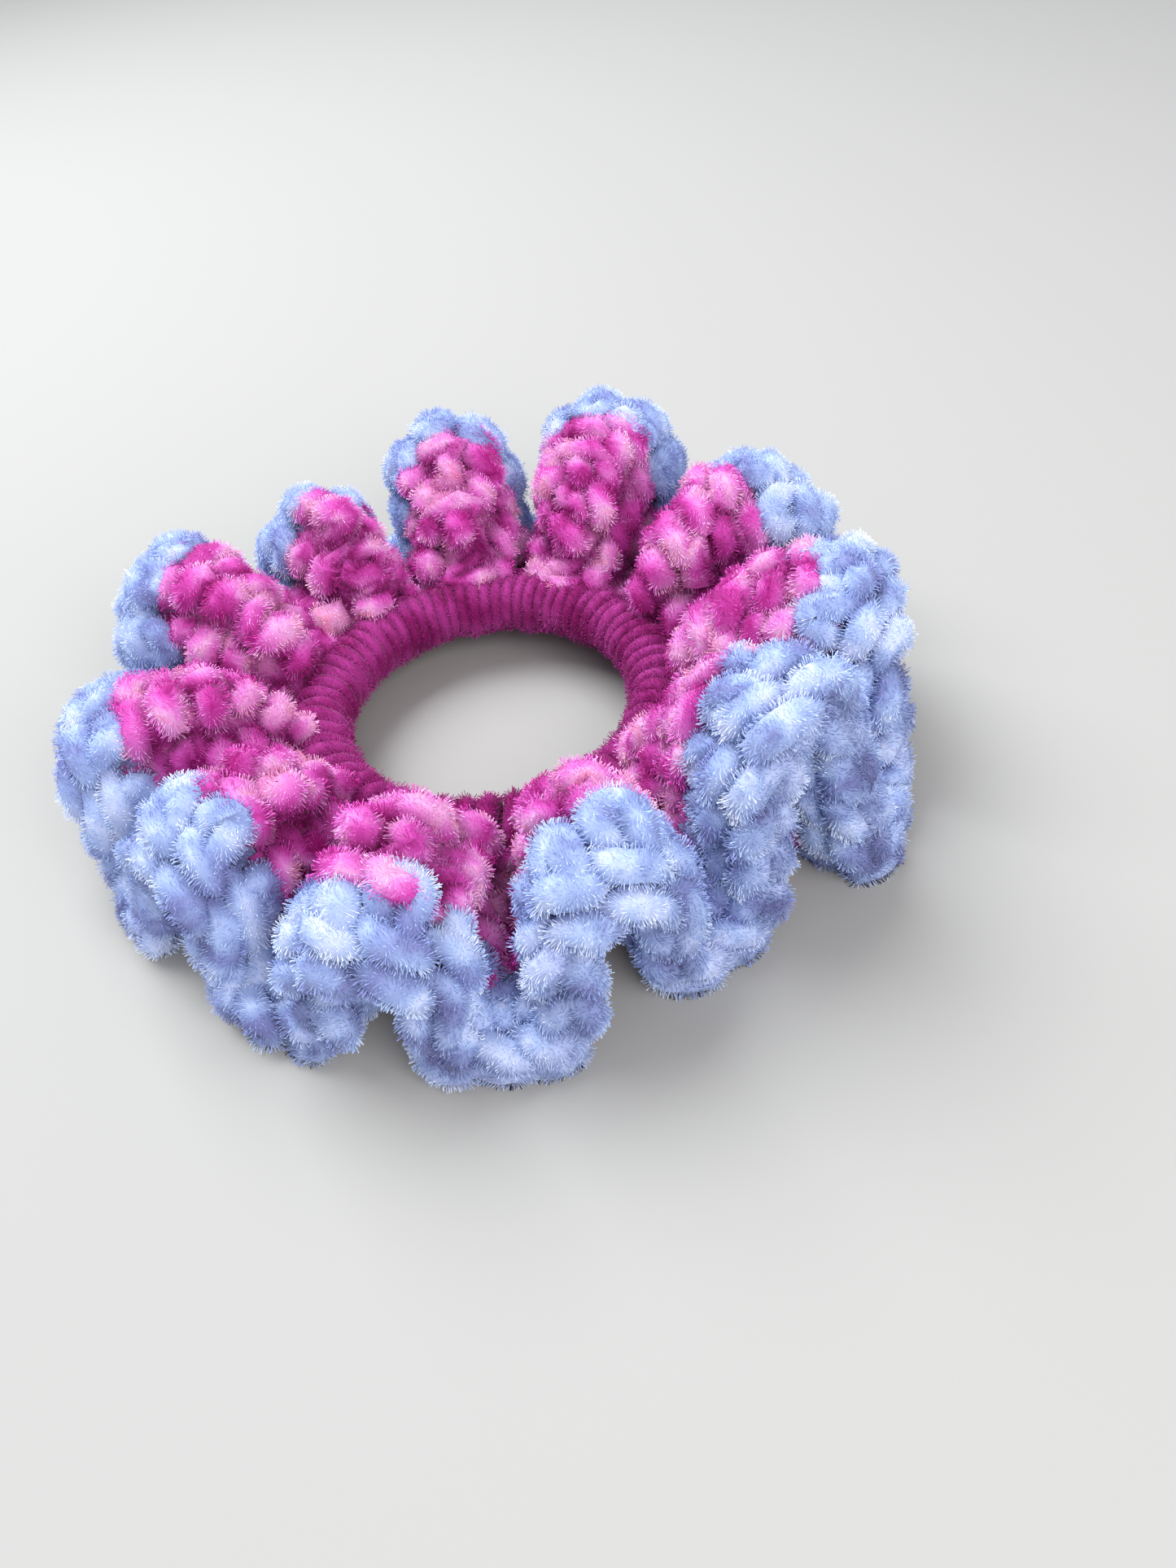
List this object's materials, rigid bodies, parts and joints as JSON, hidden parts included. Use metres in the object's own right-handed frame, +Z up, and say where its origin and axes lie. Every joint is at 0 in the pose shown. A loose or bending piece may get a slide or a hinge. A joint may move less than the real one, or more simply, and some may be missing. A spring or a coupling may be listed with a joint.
{
  "type": "scrunchie",
  "caption": "Crocheted chenille hair scrunchie: a yarn-wrapped elastic ring with a deeply folded ruffle and a contrasting looped edging.",
  "frame": {"origin": "middle of the scrunchie's outline, on the surface that it lies on; the hole's centre is above it", "axes": "+Z up, through the hole; +X to the right, the direction that the elastic is stretched in; +Y to the back, away from a person in front of it"},
  "size_m": [0.1184, 0.1114, 0.036],
  "materials": {
    "core_rubber": "matt dark latex rubber cord",
    "knitted_sheath": "fine knitted polyester cover, dyed dark magenta",
    "joint_adhesive": "set hot-melt bead, slightly waxy",
    "magenta_chenille": "velvet chenille pile, variegated magenta and pink with coral flecks, soft sheen",
    "lavender_chenille": "velvet chenille pile, variegated lavender and pale blue, soft sheen"
  },
  "bodies": {
    "left_half": {"elastic_core": "core_rubber", "elastic_sheath": "knitted_sheath", "elastic_joint": "joint_adhesive", "wrap_05": "magenta_chenille", "wrap_06": "magenta_chenille", "wrap_07": "magenta_chenille", "wrap_08": "magenta_chenille", "wrap_09": "magenta_chenille", "fold_02_ruffle_rise": "magenta_chenille", "fold_02_ruffle_fall": "magenta_chenille", "fold_02_edging_rise": "lavender_chenille", "fold_02_edging_fall": "lavender_chenille", "fold_03_ruffle_rise": "magenta_chenille", "fold_03_ruffle_fall": "magenta_chenille", "fold_03_edging_rise": "lavender_chenille", "fold_03_edging_fall": "lavender_chenille", "fold_04_ruffle_rise": "magenta_chenille", "fold_04_ruffle_fall": "magenta_chenille", "fold_04_edging_rise": "lavender_chenille", "fold_04_edging_fall": "lavender_chenille", "fold_05_ruffle_rise": "magenta_chenille", "fold_05_ruffle_fall": "magenta_chenille", "fold_05_edging_rise": "lavender_chenille", "fold_05_edging_fall": "lavender_chenille", "fold_06_ruffle_rise": "magenta_chenille", "fold_06_edging_rise": "lavender_chenille"},
    "right_half": {"wrap_11": "magenta_chenille", "wrap_12": "magenta_chenille", "wrap_01": "magenta_chenille", "wrap_02": "magenta_chenille", "wrap_03": "magenta_chenille", "fold_07_ruffle_fall": "magenta_chenille", "fold_07_edging_fall": "lavender_chenille", "fold_08_ruffle_rise": "magenta_chenille", "fold_08_ruffle_fall": "magenta_chenille", "fold_08_edging_rise": "lavender_chenille", "fold_08_edging_fall": "lavender_chenille", "fold_09_ruffle_rise": "magenta_chenille", "fold_09_ruffle_fall": "magenta_chenille", "fold_09_edging_rise": "lavender_chenille", "fold_09_edging_fall": "lavender_chenille", "fold_10_ruffle_rise": "magenta_chenille", "fold_10_ruffle_fall": "magenta_chenille", "fold_10_edging_rise": "lavender_chenille", "fold_10_edging_fall": "lavender_chenille", "fold_11_ruffle_rise": "magenta_chenille", "fold_11_ruffle_fall": "magenta_chenille", "fold_11_edging_rise": "lavender_chenille", "fold_11_edging_fall": "lavender_chenille"},
    "front_middle": {"wrap_10": "magenta_chenille", "fold_06_ruffle_fall": "magenta_chenille", "fold_06_edging_fall": "lavender_chenille", "fold_07_ruffle_rise": "magenta_chenille", "fold_07_edging_rise": "lavender_chenille"},
    "back_middle": {"wrap_04": "magenta_chenille", "fold_01_ruffle_rise": "magenta_chenille", "fold_01_ruffle_fall": "magenta_chenille", "fold_01_edging_rise": "lavender_chenille", "fold_01_edging_fall": "lavender_chenille"}
  },
  "joints": [
    {"name": "stretch", "type": "slide", "parent": "left_half", "child": "right_half", "axis": [1, 0, 0], "range_m": [0, 0.04], "stiffness_N_per_m": 120, "deforming": ["elastic_core", "elastic_sheath"]},
    {"name": "stretch_front", "type": "slide", "parent": "left_half", "child": "front_middle", "axis": [1, 0, 0], "range_m": [0, 0.02]},
    {"name": "stretch_back", "type": "slide", "parent": "left_half", "child": "back_middle", "axis": [1, 0, 0], "range_m": [0, 0.02]}
  ],
  "couplings": [
    {"joint": "stretch_front", "follows": "stretch", "ratio": 0.5},
    {"joint": "stretch_back", "follows": "stretch", "ratio": 0.5}
  ]
}
